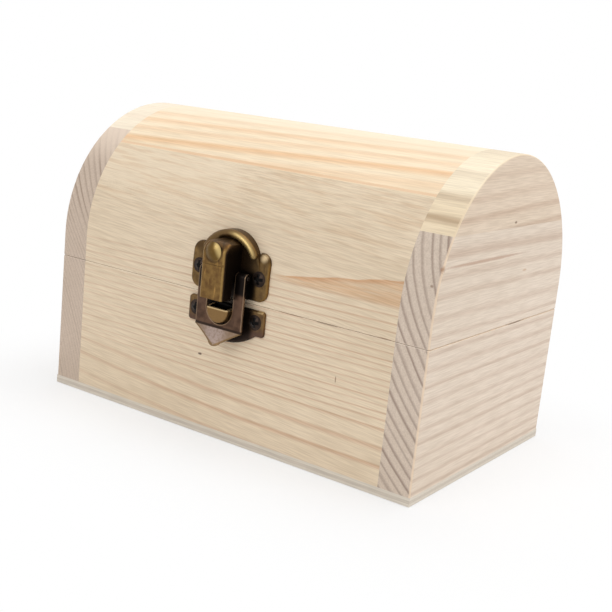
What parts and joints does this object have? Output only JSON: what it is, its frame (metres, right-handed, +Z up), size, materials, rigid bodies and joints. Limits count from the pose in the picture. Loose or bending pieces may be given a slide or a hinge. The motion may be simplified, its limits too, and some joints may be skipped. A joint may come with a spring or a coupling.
{
  "type": "treasure chest box",
  "caption": "Small wooden chest box with an arched hinged lid and a duckbill hasp latch that swings out to free it.",
  "frame": {"origin": "middle of the underside of the wooden box, on the surface that it stands on", "axes": "+X to the right along the length, seen from the front; -Y out of the front, where the latch is; +Z up"},
  "size_m": [0.16, 0.1149, 0.11],
  "materials": {
    "plywood": "raw thin plywood, sanded",
    "sapwood_board": "raw pine sapwood, sanded",
    "heartwood_board": "raw pine heartwood, sanded",
    "end_board": "raw pine with end grain at its edges, sanded",
    "end_board_upper": "raw quarter-sawn pine, sanded",
    "antique_brass": "pressed sheet, antiqued and lacquered",
    "bronzed_brass": "pressed sheet, dark bronzed",
    "black_screw": "blackened steel, satin",
    "hinge_brass": "antiqued sheet"
  },
  "bodies": {
    "box": {"base_panel": "plywood", "body_front_board": "sapwood_board", "body_back_board": "sapwood_board", "body_left_end": "end_board", "body_right_end": "end_board", "latch_lower_plate": "antique_brass", "latch_lower_screws": "black_screw", "left_hinge_body_leaf": "hinge_brass", "right_hinge_body_leaf": "hinge_brass", "left_hinge_pin": "hinge_brass", "right_hinge_pin": "hinge_brass", "hinge_body_screws": "hinge_brass"},
    "lid": {"lid_front_board": "sapwood_board", "lid_back_board": "sapwood_board", "lid_top_board": "heartwood_board", "lid_left_end_lower": "end_board", "lid_left_end_upper": "end_board_upper", "lid_right_end_lower": "end_board", "lid_right_end_upper": "end_board_upper", "latch_upper_plate": "antique_brass", "latch_hood": "antique_brass", "latch_pin": "bronzed_brass", "latch_upper_screws": "black_screw", "left_hinge_lid_leaf": "hinge_brass", "right_hinge_lid_leaf": "hinge_brass", "hinge_lid_screws": "hinge_brass"},
    "loop": {"latch_loop": "bronzed_brass"}
  },
  "joints": [
    {"name": "lid_hinge", "type": "hinge", "parent": "box", "child": "lid", "pos_m": [0, 0.0518, 0.05108], "axis": [-1, 0, 0], "range_deg": [0, 170]},
    {"name": "loop_swing", "type": "hinge", "parent": "lid", "child": "loop", "pos_m": [0.0018, -0.0532, 0.06], "axis": [-1, 0, 0], "range_deg": [0, 120]}
  ]
}
